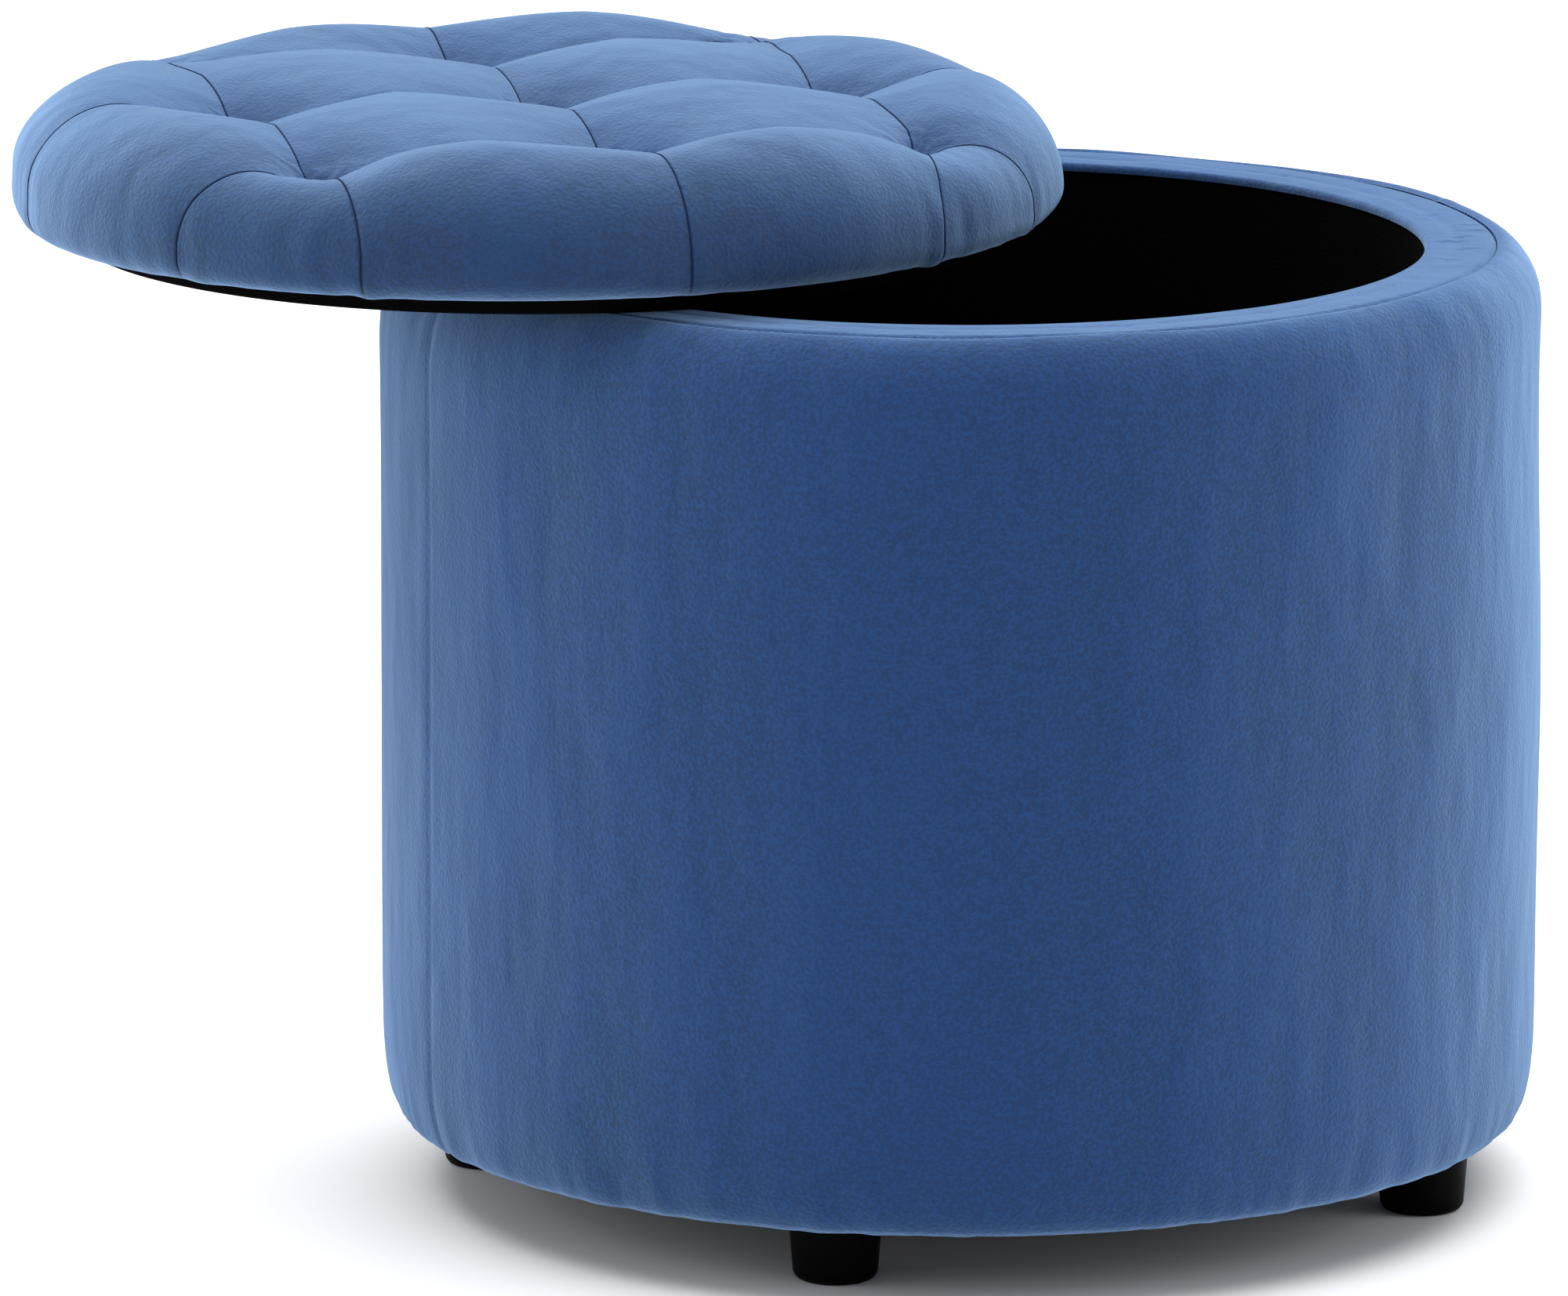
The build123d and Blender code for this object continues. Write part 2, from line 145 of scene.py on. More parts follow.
# place along the stitch in stitch lengths, and how thick it is there in radii
STITCH_SHAPE = ((-0.5, 0.35), (-0.4, 0.8), (-0.15, 1.0), (0.15, 1.0), (0.4, 0.8), (0.5, 0.35))

# ---- the lid's outline before tufting ----
LID_BASE_R = LID_R - 0.0100
# height of its widest ring
LID_BULGE = 0.012
LID_SHOULDER = 0.050
LID_HEM_R = 0.178
# the crown's middle is left open by a pinhole
CROWN_R = 0.0004

# ---- the grid of tufts ----
PITCH = 0.120
TURN = radians(16.5)
# shares of a grid step by which the seams and corner tufts leave a square grid
SEAM_LEAN = 0.10
CORNER_SPREAD = 0.064
FRONT_BEND = 0.09

# ---- how the tufts and seams pull the cover in ----
VALLEY = 0.0055
VALLEY_FADE = 0.85
VALLEY_FADE_R = 0.140
VALLEY_FADE_BAND = 0.055
PILLOW_ROUND = 0.72
FUNNEL = 0.0230
FUNNEL_REACH = 0.024
FUNNEL_BLUNT = 1.4
FUNNEL_TIP = 0.0030
FUNNEL_ON_SIDE = 0.22
FUNNEL_LESS_BEHIND = 0.8
FOLD = 0.0003
FOLD_COUNT = 7
FOLD_R = 0.013
FOLD_BAND = 0.009
FOLD_SHIFT = 3.5
PUCKER = 0.0006
PUCKER_REACH = 0.016
PUCKER_SIZE = 0.024

# ---- how unevenly the lid is filled ----
BACK_THIN = 0.0034
BACK_FROM_Y = -0.01
BACK_BAND = 0.15
LEFT_FLAT = 0.0022
LEFT_FLAT_H = 0.014
LEFT_FLAT_BAND = 0.011
LEFT_FLAT_SPREAD = 0.6
FILL_UNEVEN = 0.0005
FILL_UNEVEN_SIZE = 0.09
# the lower edge hangs lower on the side that overhangs, and higher on the other
HANG = 0.0013
HANG_ANGLE = radians(160)
HANG_FROM_R = LID_HEM_R + 0.006
HANG_BAND = 0.010

# ---- the thread lines along the lid's seams ----
THREAD_R = 0.00032
THREAD_SIDES = 6
THREAD_ROWS_UNDER = 8
THREAD_PLACES = 900

# ---- the velvet's looks ----
VELVET_DEEP = (0.0002, 0.0065, 0.034)
VELVET_BRUSHED = (0.0005, 0.0180, 0.090)
VELVET_PALE = (0.0010, 0.0400, 0.170)
# the black used for painted shade along the lid's sewn lines
SEAM_SHADE = (0.0, 0.0, 0.0)
DRUM_SHEEN = 0.80
LID_SHEEN = 0.90
SHEEN_SPREAD = 0.60
SHEEN_TINT = (0.36, 0.57, 0.89)
# how far from a sewn line its painted shade is full, and ends, in grid units
SEAM_SHADE_REACH = (0.0030, 0.0080)
# how closely each layer of marks is packed, per metre
CLOUD_SCALE = 13.0
MARK_SCALE = 42.0
PEBBLE_SCALE = 640.0
PILE_SCALE = 1700.0
# how far along X from the drum's axis the patches start to grow stronger, and are at full
# strength: painted sheen, stronger towards the left and right sides
PAINTED_SHEEN_REACH = (0.03, 0.16)

# ---- the other materials' colours, each from one end of its variation to the other ----
THREAD_COLOURS = ((0.001, 0.007, 0.036), (0.004, 0.022, 0.095))
LINING_COLOURS = ((0.0002, 0.0002, 0.0003), (0.0010, 0.0010, 0.0013))
PLASTIC_COLOURS = ((0.0002, 0.0002, 0.0002), (0.0010, 0.0010, 0.0010))
STEEL_COLOURS = ((0.42, 0.42, 0.4), (0.62, 0.62, 0.6))
CARD_COLOURS = ((0.2, 0.17, 0.13), (0.34, 0.3, 0.25))
FIBREBOARD_COLOURS = ((0.33, 0.22, 0.12), (0.42, 0.29, 0.17))
PINE_COLOURS = ((0.45, 0.3, 0.15), (0.62, 0.45, 0.26))
PLYWOOD_COLOURS = ((0.42, 0.29, 0.16), (0.6, 0.44, 0.26))
FLOOR_COLOURS = ((0.95, 0.95, 0.95), (0.97, 0.97, 0.97))

# ---- stage ----
FLOOR_HALF = 12.0
SURROUND_STRENGTH = 0.51
LIGHT_AIM = (0.0, 0.0, 0.25)
# name, place, side and power in watts
SOFT_BOXES = (
    ("top_box", (0.0, 0.6, 3.2), 5.0, 255.0),
    ("left_box", (-2.5, -0.6, 0.9), 1.4, 17.0),
    ("right_box", (2.5, -0.5, 0.9), 1.4, 14.0),
)
CAMERA_BACK = 5.0225
CAMERA_UP = 1.2458
CAMERA_TILT = 0.2083
CAMERA_PAN = 0.0139
LENS_MM = 296.0
SENSOR_MM = 36.0


# ================= shapes in general =================


def smooth(x):
    """0 to 1 with flat ends."""
    x = np.clip(x, 0.0, 1.0)
    return x * x * (3 - 2 * x)


def bell(x, middle, width):
    """1 at the middle, fading to almost nothing two widths either side of it."""
    return np.exp(-(((x - middle) / width) ** 2))


def waves(points, seed, size, octaves=3):
    """Smooth unevenness, about -1 to 1, made of seeded plane waves of roughly this size."""
    each = 10
    rng = np.random.default_rng(seed)
    total = np.zeros(points.shape[:-1])
    weight = 0.0
    for octave in range(octaves):
        height = 0.6**octave
        for _ in range(each):
            way = rng.normal(size=3)
            way *= 2 * pi / (size * 0.5**octave * np.linalg.norm(way))
            total += height * np.sin(points @ way + rng.uniform(0, 2 * pi))
        weight += height * np.sqrt(each / 2)
    return total / weight


def unit(vectors):
    """Each row scaled to length 1."""
    return vectors / (np.linalg.norm(vectors, axis=1)[:, None] + 1e-12)


def turned(angle, centre):
    """The signed angle from a centre, -pi to pi."""
    return (angle - centre + pi) % (2 * pi) - pi


def round_points(x, y, theta, r, z):
    """Points from compass angles, radii and heights about an upright axis through x, y."""
    return np.stack([x + r * np.cos(theta), y + r * np.sin(theta), z], axis=-1)


def arc(cx, cz, rx, rz, start, end, count=40):
    """Points along part of an ellipse, angles in degrees."""
    t = np.radians(np.linspace(start, end, count))
    return [(cx + rx * cos(a), cz + rz * sin(a)) for a in t]


def resample(points, step, end_length=0.0):
    """A polyline read every `step`, and finely along its last stretch.

    Gives the points, the way the line runs at each, and the distance along it.
    """
    points = np.array(points, float)
    runs = np.linalg.norm(np.diff(points, axis=0), axis=1)
    along = np.concatenate([[0.0], np.cumsum(runs)])
    split = along[-1] - end_length
    at = np.linspace(0, split, int(round(split / step)) + 1)
    if end_length:
        last = np.linspace(split, along[-1], int(round(end_length / FINE_STEP)) + 1)
        at = np.concatenate([at, last[1:]])
    line = np.column_stack([np.interp(at, along, points[:, i]) for i in (0, 1)])
    return line, unit(np.gradient(line, at, axis=0)), at


def spin(line):
    """A profile's radius, height and compass angle at every point of its rings."""
    angles = np.linspace(0, 2 * pi, RING_STEPS, endpoint=False)
    r = np.repeat(line[:, 0][:, None], RING_STEPS, axis=1)
    z = np.repeat(line[:, 1][:, None], RING_STEPS, axis=1)
    theta = np.repeat(angles[None, :], len(line), axis=0)
    return r, z, theta


def pushed(r, z, way, out):
    """Rings moved sideways off their profile, to the right of the way that it runs."""
    return r + out * way[:, 1][:, None], z - out * way[:, 0][:, None]


def new_object(name, data):
    """An object in the scene."""
    obj = bpy.data.objects.new(name, data)
    bpy.context.collection.objects.link(obj)
    return obj


def grid_object(name, rings, uv=None):
    """A surface of closed rings, each an array of points, joined in order."""
    count = rings.shape[1]
    verts = rings.reshape(-1, 3)
    rows = np.arange(rings.shape[0] - 1)[:, None] * count
    here = np.arange(count)[None, :]
    after = (here + 1) % count
    corners = [rows + here, rows + after, rows + count + after, rows + count + here]
    faces = np.stack(corners, axis=-1).reshape(-1, 4)
    mesh = bpy.data.meshes.new(name)
    mesh.vertices.add(len(verts))
    mesh.vertices.foreach_set("co", verts.ravel())
    mesh.loops.add(faces.size)
    mesh.loops.foreach_set("vertex_index", faces.ravel())
    mesh.polygons.add(len(faces))
    mesh.polygons.foreach_set("loop_start", np.arange(0, faces.size, 4))
    mesh.update(calc_edges=True)
    mesh.validate()
    mesh.polygons.foreach_set("use_smooth", np.ones(len(mesh.polygons), bool))
    if uv is not None:
        layer = mesh.uv_layers.new(name="plan")
        index = np.empty(len(mesh.loops), int)
        mesh.loops.foreach_get("vertex_index", index)
        layer.data.foreach_set("uv", uv.reshape(-1, 2)[index].ravel())
    return new_object(name, mesh)


def thread_object(name, threads):
    """One smooth object from many threads, each a list of corners and a list of faces."""
    verts, faces = [], []
    for corners, skin in threads:
        faces += [tuple(corner + len(verts) for corner in face) for face in skin]
        verts += [tuple(corner) for corner in corners]
    mesh = bpy.data.meshes.new(name)
    mesh.from_pydata(verts, [], faces)
    mesh.polygons.foreach_set("use_smooth", [True] * len(mesh.polygons))
    return new_object(name, mesh)


def tube_faces(rows, sides):
    """Faces round a tube of rings of corners, and one flat face at each end."""
    faces = []
    for row in range(rows - 1):
        for k in range(sides):
            a = row * sides + k
            b = row * sides + (k + 1) % sides
            faces.append((a, b, b + sides, a + sides))
    faces.append(tuple(reversed(range(sides))))
    faces.append(tuple((rows - 1) * sides + k for k in range(sides)))
    return faces


# ================= materials =================


class Material:
    """A node material being built, with short ways to add to it."""

    def __init__(self, name):
        self.made = bpy.data.materials.new(name)
        self.made.use_nodes = True
        self.nodes = self.made.node_tree.nodes
        self.links = self.made.node_tree.links
        self.coords = self.nodes.new("ShaderNodeTexCoord").outputs["Object"]

    def put(self, socket, value):
        """Link an output to a socket, or set the socket to a plain value."""
        if isinstance(value, bpy.types.NodeSocket):
            self.links.new(value, socket)
        else:
            socket.default_value = value

    def node(self, kind, inputs):
        """A new node with its inputs linked or set by name."""
        node = self.nodes.new(kind)
        for name, value in inputs.items():
            self.put(node.inputs[name], value)
        return node

    def surface(self, inputs):
        """Link or set the shader's inputs by name, and give back the finished material."""
        for name, value in inputs.items():
            self.put(self.nodes["Principled BSDF"].inputs[name], value)
        return self.made

    def stretched(self, scale):
        """Object coordinates scaled along each axis."""
        inputs = {"Vector": self.coords, "Scale": scale}
        return self.node("ShaderNodeMapping", inputs).outputs["Vector"]

    def noise(self, vector, scale, detail=3.0, roughness=0.55):
        """A noise texture read at a vector."""
        inputs = {"Vector": vector, "Scale": scale, "Detail": detail, "Roughness": roughness}
        return self.node("ShaderNodeTexNoise", inputs).outputs["Fac"]

    def remap(self, value, given, wanted):
        """A value's range stretched onto another, each as low and high."""
        inputs = {"Value": value, "From Min": given[0], "From Max": given[1],
                  "To Min": wanted[0], "To Max": wanted[1]}
        return self.node("ShaderNodeMapRange", inputs).outputs["Result"]

    def math(self, operation, *values):
        """One arithmetic step on outputs or plain numbers."""
        node = self.nodes.new("ShaderNodeMath")
        node.operation = operation
        for socket, value in zip(node.inputs, values):
            self.put(socket, value)
        return node.outputs[0]

    def mix(self, factor, *colours):
        """Two colours, as triples or outputs, mixed by a factor."""
        node = self.nodes.new("ShaderNodeMix")
        node.data_type = "RGBA"
        self.put(node.inputs["Factor"], factor)
        # the node has a pair of inputs for each kind of data: 6 and 7 are the colours
        for socket, colour in zip((node.inputs[6], node.inputs[7]), colours):
            self.put(socket, (*colour, 1.0) if isinstance(colour, tuple) else colour)
        return node.outputs[2]

    def bump(self, height, strength, distance, normal=None):
        """A bump from a height, on top of an earlier normal."""
        inputs = {"Height": height, "Strength": strength, "Distance": distance}
        if normal is not None:
            inputs["Normal"] = normal
        return self.node("ShaderNodeBump", inputs).outputs["Normal"]


def seam_lines(mat):
    """1 on the lid's sewn lines and 0 off them, from the plan position in grid units."""
    plan = mat.nodes.new("ShaderNodeUVMap")
    plan.uv_map = "plan"
    split = mat.node("ShaderNodeSeparateXYZ", {"Vector": plan.outputs["UV"]})
    gaps = []
    for axis in ("X", "Y"):
        place = split.outputs[axis]
        # the nearest line is -1, 0 or 1, also for a place beyond the outer ones
        held = mat.math("MAXIMUM", mat.math("MINIMUM", place, 1.2), -1.2)
        gap = mat.math("SUBTRACT", place, mat.math("ROUND", held))
        gaps.append(mat.math("ABSOLUTE", gap))
    nearest = mat.math("MINIMUM", *gaps)
    return mat.remap(nearest, SEAM_SHADE_REACH, (1.0, 0.0))


def painted_sheen_sides(mat):
    """How strong the brushed patches are: weaker near the drum's axis along X, full towards the
    left and right sides, as painted sheen.
    """
    split = mat.node("ShaderNodeSeparateXYZ", {"Vector": mat.coords})
    aside = mat.math("ABSOLUTE", mat.math("SUBTRACT", split.outputs["X"], DRUM_X))
    return mat.remap(aside, PAINTED_SHEEN_REACH, (0.3, 1.0))


def velvet_material(name, sheen, seams=False):
    """Short-pile blue velvet: dark face on, pale where the pile is seen from the side."""
    mat = Material(name)
    drawn_out = mat.stretched((1.0, 1.0, 0.4))
    clouds = mat.noise(drawn_out, CLOUD_SCALE, detail=3.0, roughness=0.55)
    marks = mat.noise(drawn_out, MARK_SCALE, detail=3.0, roughness=0.6)
    pebble = mat.noise(mat.coords, PEBBLE_SCALE, detail=1.0, roughness=0.5)
    pile = mat.noise(mat.coords, PILE_SCALE, detail=1.0, roughness=0.5)

    # brushed patches, then the pebbled lie of the pile, then single tufts of it
    broad = mat.remap(clouds, (0.38, 0.62), (-0.32, 0.32))
    fine = mat.remap(marks, (0.38, 0.64), (-0.22, 0.22))
    # the patches' contrast grows towards the left and right sides: painted sheen over the pile's
    # random tone
    patch = mat.math("MULTIPLY", mat.math("ADD", broad, fine), painted_sheen_sides(mat))
    patch = mat.math("ADD", patch, 0.5)
    lie = mat.remap(pebble, (0.40, 0.64), (0.05, 0.53))
    speck = mat.remap(pile, (0.38, 0.68), (0.0, 0.3))
    colour = mat.mix(patch, VELVET_DEEP, VELVET_BRUSHED)
    colour = mat.mix(lie, colour, VELVET_PALE)
    colour = mat.mix(speck, colour, VELVET_PALE)

    normal = mat.bump(clouds, strength=0.8, distance=0.0070)
    normal = mat.bump(marks, strength=0.6, distance=0.0010, normal=normal)
    normal = mat.bump(pebble, strength=0.6, distance=0.0005, normal=normal)
    normal = mat.bump(pile, strength=0.3, distance=0.0002, normal=normal)

    if seams:
        # painted shade along the sewn creases, darkest on the lines; off them the whole lid is
        # still mixed about a third of the way to the same black, so its velvet is darker than
        # the drum's
        crease = seam_lines(mat)
        dark = mat.remap(crease, (0.0, 1.0), (0.32, 1.0))
        colour = mat.mix(dark, colour, SEAM_SHADE)
        sunk = mat.math("MULTIPLY", crease, -1.0)
        normal = mat.bump(sunk, strength=0.2, distance=0.0010, normal=normal)

    return mat.surface({
        "Base Color": colour,
        "Normal": normal,
        "Roughness": 0.9,
        "Specular IOR Level": 0.05,
        "Sheen Weight": sheen,
        "Sheen Roughness": SHEEN_SPREAD,
        "Sheen Tint": (*SHEEN_TINT, 1.0),
    })


def thread_material():
    """Dark blue sewing thread with a twist."""
    mat = Material("blue_thread")
    twist = mat.noise(mat.coords, 1800.0, detail=2.0, roughness=0.6)
    return mat.surface({
        "Base Color": mat.mix(twist, *THREAD_COLOURS),
        "Normal": mat.bump(twist, strength=0.4, distance=0.0002),
        "Roughness": 0.9,
        "Specular IOR Level": 0.06,
    })


def lining_material():
    """Black non-woven lining: a matted web with a pressed dot pattern."""
    mat = Material("black_nonwoven")
    web = mat.noise(mat.coords, 420.0, detail=4.0, roughness=0.7)
    inputs = {"Vector": mat.coords, "Scale": 420.0, "Randomness": 0.15}
    dots = mat.node("ShaderNodeTexVoronoi", inputs)
    pressed = mat.remap(dots.outputs["Distance"], (0.1, 0.4), (0.0, 1.0))
    height = mat.math("ADD", pressed, web)
    return mat.surface({
        "Base Color": mat.mix(web, *LINING_COLOURS),
        "Normal": mat.bump(height, strength=0.5, distance=0.0004),
        "Roughness": 0.95,
        "Specular IOR Level": 0.05,
    })


def plastic_material():
    """Moulded black plastic with a fine spark-eroded texture."""
    mat = Material("moulded_plastic")
    texture = mat.noise(mat.coords, 900.0, detail=2.0, roughness=0.5)
    scuff = mat.noise(mat.coords, 60.0, detail=4.0, roughness=0.65)
    return mat.surface({
        "Base Color": mat.mix(scuff, *PLASTIC_COLOURS),
        "Normal": mat.bump(texture, strength=0.25, distance=0.0002),
        "Roughness": mat.remap(scuff, (0.3, 0.7), (0.42, 0.6)),
        "Specular IOR Level": 0.04,
    })


def wood_material(name, colours, finer):
    """Board, batten or plywood, with a grain this many times finer along each axis."""
    mat = Material(name)
    grain = mat.noise(mat.stretched(finer), 45.0, detail=5.0, roughness=0.6)
    return mat.surface({
        "Base Color": mat.mix(mat.remap(grain, (0.3, 0.7), (0.0, 1.0)), *colours),
        "Normal": mat.bump(grain, strength=0.2, distance=0.0004),
        "Roughness": 0.7,
    })


def steel_material():
    """Zinc-plated steel for screws, nuts and staples."""
    mat = Material("plated_steel")
    cloud = mat.noise(mat.coords, 300.0, detail=3.0, roughness=0.6)
    return mat.surface({
        "Base Color": mat.mix(cloud, *STEEL_COLOURS),
        "Roughness": mat.remap(cloud, (0.3, 0.7), (0.28, 0.45)),
        "Metallic": 1.0,
    })


def card_material():
    """Grey-brown card tube."""
    mat = Material("grey_card")
    fibre = mat.noise(mat.coords, 250.0, detail=4.0, roughness=0.65)
    return mat.surface({"Base Color": mat.mix(fibre, *CARD_COLOURS), "Roughness": 0.9})


def floor_material():
    """An almost white floor."""
    mat = Material("pale_floor")
    cloud = mat.noise(mat.coords, 3.0)
    return mat.surface({"Base Color": mat.mix(cloud, *FLOOR_COLOURS), "Roughness": 0.9})


def dress(node, mat):
    """Give one CAD node a better material."""
    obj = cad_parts[node]
    if not obj.data.materials:
        obj.data.materials.append(mat)
    for i in range(len(obj.data.materials)):
        obj.data.materials[i] = mat


# ================= drum =================


def side_profile():
    """The side panel's outline, from the hem under the base to the rim seam."""
    points = [(DRUM_HEM_R, DRUM_Z), (BASE_FLAT_R, DRUM_Z)]
    points += arc(BASE_FLAT_R, DRUM_Z + BASE_ROUND_H, DRUM_R - BASE_FLAT_R, BASE_ROUND_H, -90, 0)
    points += arc(SHOULDER_R, RIM_Z - SHOULDER_H, DRUM_R - SHOULDER_R, SHOULDER_H, 0, 90)
    points += [(SEAM_R, RIM_Z)]
    return points


def side_joins(theta):
    """The two joins: a fine valley with a soft lip to one side of it."""
    out = np.zeros_like(theta)
    for join in JOINS:
        gap = turned(theta, join) * DRUM_R
        out += LIP_HEIGHT * bell(gap, -LIP_ASIDE, LIP_WIDTH)
        out -= JOIN_DEPTH * bell(gap, 0.0, JOIN_WIDTH)
    return out


def side_padding(theta, z):
    """Where the padding stands fuller than the plain outline."""
    facing = bell(turned(theta, FULL_ANGLE), 0.0, FULL_SPREAD)
    shoulder = SHOULDER_FULL + SHOULDER_FULLER * facing
    out = shoulder * bell(z, SHOULDER_FULL_Z, SHOULDER_FULL_BAND)
    return out + SIDE_FULL * facing * bell(z, SIDE_FULL_Z, SIDE_FULL_BAND)


def side_slack(theta, r, z):
    """Slack in the cloth, least where it is pulled tight under the base, and gathers there."""
    up = np.clip((z - DRUM_Z) / (RIM_Z - DRUM_Z), 0, 1)
    places = round_points(DRUM_X, DRUM_Y, theta, r, z)
    slack = waves(places * (1, 1, 0.5), seed=3, size=SLACK_SIZE, octaves=2)
    unrolled = np.stack([theta * DRUM_R, 0.15 * z, 0 * z], axis=-1)
    gather = waves(unrolled, seed=8, size=GATHER_SIZE, octaves=2)
    return SLACK * slack * smooth(up * 6) + GATHER * gather * bell(z, GATHER_Z, GATHER_BAND)


def side_panel():
    """The drum's velvet: hem, side and shoulder, with two sewn joins down it."""
    line, way, at = resample(side_profile(), SIDE_STEP, FINE_STRETCH)
    r, z, theta = spin(line)
    from_seam = (at[-1] - at)[:, None]
    out = side_joins(theta) + side_padding(theta, z) + side_slack(theta, r, z)
    out -= GROOVE_DEPTH * bell(from_seam, 0.0, GROOVE_WIDTH)
    r, z = pushed(r, z, way, out)
    return grid_object("drum_velvet", round_points(DRUM_X, DRUM_Y, theta, r, z))


def rim_profile():
    """The rim ring's outline, from the sewn seam over the rolled edge and down inside it."""
    edge = OPENING_R - RIM_WRAP
    crest = RIM_Z - RIM_FALL
    points = [(SEAM_R, RIM_Z), (edge + 4 * RIM_ROLL, RIM_Z - RIM_FALL / 3)]
    points += arc(edge + RIM_ROLL, crest - RIM_ROLL, RIM_ROLL, RIM_ROLL, 90, 180, 16)
    points += [(edge, crest - RIM_ROLL - RIM_TURN_IN)]
    return points


def rim_creases(theta, r, across):
    """Creases that run outward across the ring, each with a low ridge beside it."""
    out = np.zeros_like(r)
    for angle, middle, depth in RIM_CREASES:
        gap = turned(theta, radians(angle)) * r
        reach = bell(across, middle, CREASE_REACH)
        out -= depth * bell(gap, 0.0, CREASE_WIDTH) * reach
        out += 0.5 * depth * bell(gap, RIDGE_ASIDE, RIDGE_WIDTH) * reach
    return out


def rim_ring():
    """The velvet ring on top of the rim, from the sewn seam to the rolled edge."""
    line, way, at = resample(rim_profile(), FINE_STEP)
    r, z, theta = spin(line)
    from_seam = at[:, None]
    across = np.clip(from_seam / (SEAM_R - OPENING_R), 0, 1)
    places = round_points(DRUM_X, DRUM_Y, theta, r, z)
    out = rim_creases(theta, r, across)
    out -= GROOVE_DEPTH * bell(from_seam, 0.0, GROOVE_WIDTH)
    out -= RIM_DIP * bell(across, RIM_DIP_ACROSS, RIM_DIP_BAND)
    out += RIM_UNEVEN * waves(places, seed=11, size=RIM_UNEVEN_SIZE) * np.sin(pi * across)
    r, z = pushed(r, z, way, out)
    return grid_object("rim_velvet", round_points(DRUM_X, DRUM_Y, theta, r, z))


def stitch(angle, lean):
    """Corners and faces of one short thread lying along the rim seam."""
    outward = np.array([cos(angle), sin(angle), 0.0])
    along = np.array([-sin(angle), cos(angle), 0.0]) + lean * outward
    middle = np.array([DRUM_X, DRUM_Y, RIM_Z - GROOVE_DEPTH]) + SEAM_R * outward
    corners = []
    for place, thickness in STITCH_SHAPE:
        lift = STITCH_R * (1 - 3.2 * place**2)
        for k in range(STITCH_SIDES):
            turn = -2 * pi * k / STITCH_SIDES
            off = outward * cos(turn) + np.array([0.0, 0.0, sin(turn)])
            corner = middle + along * STITCH_LENGTH * place + off * STITCH_R * thickness
            corners.append(corner + (0.0, 0.0, lift))
    return corners, tube_faces(len(STITCH_SHAPE), STITCH_SIDES)


def rim_stitches():
    """The lockstitch that shows in the rim seam: threads lying end to end round it."""
    count = int(2 * pi * SEAM_R / STITCH_PITCH)
    rng = np.random.default_rng(21)
    threads = []
    for i in range(count):
        angle = 2 * pi * (i + rng.uniform(-0.08, 0.08)) / count
        lean = rng.uniform(-0.12, 0.12)
        threads.append(stitch(angle, lean))
    return thread_object("rim_stitches", threads)


# ================= lid =================


def lid_profile():
    """The lid's outline before tufting, from the crown down and under to the hem."""
    points = [(0.0, LID_H), (LID_R - LID_SHOULDER, LID_H)]
    points += arc(LID_R - LID_SHOULDER, LID_BULGE, LID_SHOULDER, LID_H - LID_BULGE, 90, 0, 60)
    points += arc(LID_BASE_R, LID_BULGE, LID_R - LID_BASE_R, LID_BULGE, 0, -90, 24)[1:]
    points += [(LID_HEM_R, 0.0)]
    return points


def grid_position(x, y):
    """Plan position in grid units: the sewn lines are at -1, 0 and 1 both ways.

    Three of the corner tufts stand further out than square. Beyond the outer tufts the outer
    lines lean towards the middle ones, and at the front the middle line bends.
    """
    a = (x * cos(TURN) + y * sin(TURN)) / PITCH
    b = (-x * sin(TURN) + y * cos(TURN)) / PITCH
    a = a * (1 - CORNER_SPREAD * np.minimum(b**2, 1) * smooth(a + b + 1))
    a = a - FRONT_BEND * np.maximum(-b - 1, 0) * (1 - np.minimum(a**2, 1))
    lean_a = a * (1 + SEAM_LEAN * np.maximum(np.abs(b) - 1, 0))
    lean_b = b * (1 + SEAM_LEAN * np.maximum(np.abs(a) - 1, 0))
    return lean_a, lean_b


def plan_position(a, b):
    """Where a place in grid units is in plan: the reverse of grid_position, found in steps."""
    x = PITCH * (a * cos(TURN) - b * sin(TURN))
    y = PITCH * (a * sin(TURN) + b * cos(TURN))
    for _ in range(12):
        got_a, got_b = grid_position(x, y)
        x = x + PITCH * ((a - got_a) * cos(TURN) - (b - got_b) * sin(TURN))
        y = y + PITCH * ((a - got_a) * sin(TURN) + (b - got_b) * cos(TURN))
    return x, y


def tufting(a, b, valley, depth, folds, slack):
    """How far the sewn grid pulls the cover in: valleys, tufts and the gathers round them."""
    near_a = a - np.clip(np.round(a), -1, 1)
    near_b = b - np.clip(np.round(b), -1, 1)
    pull = np.zeros_like(a)
    for gap in (near_a, near_b):
        # 0 on the line, 1 half-way to the next
        gap = np.clip(np.abs(gap) / 0.5, 0, 1)
        pull += valley * (1 - (2 * gap - gap**2) ** PILLOW_ROUND)
    # a tuft pulls further along the seams than into the pillows, and less at the back corners
    reach = np.abs(near_a) ** FUNNEL_BLUNT + np.abs(near_b) ** FUNNEL_BLUNT
    gap = reach ** (1 / FUNNEL_BLUNT) * PITCH
    gap = np.sqrt(gap**2 + FUNNEL_TIP**2) - FUNNEL_TIP
    behind = 1 - FUNNEL_LESS_BEHIND * smooth(b) * np.minimum(a**2, 1)
    pull += FUNNEL * np.exp(-gap / FUNNEL_REACH) * depth * behind
    # fine gathers, radial about each tuft
    turn = np.arctan2(near_b, near_a)
    gathers = np.cos(FOLD_COUNT * turn + FOLD_SHIFT * slack)
    pull += FOLD * folds * bell(gap, FOLD_R, FOLD_BAND) * gathers
    # puckers along the seams where they run down the side
    nearest = np.minimum(np.abs(near_a), np.abs(near_b)) * PITCH
    pull += PUCKER * (1 - folds) * slack * np.exp(-nearest / PUCKER_REACH)
    return pull


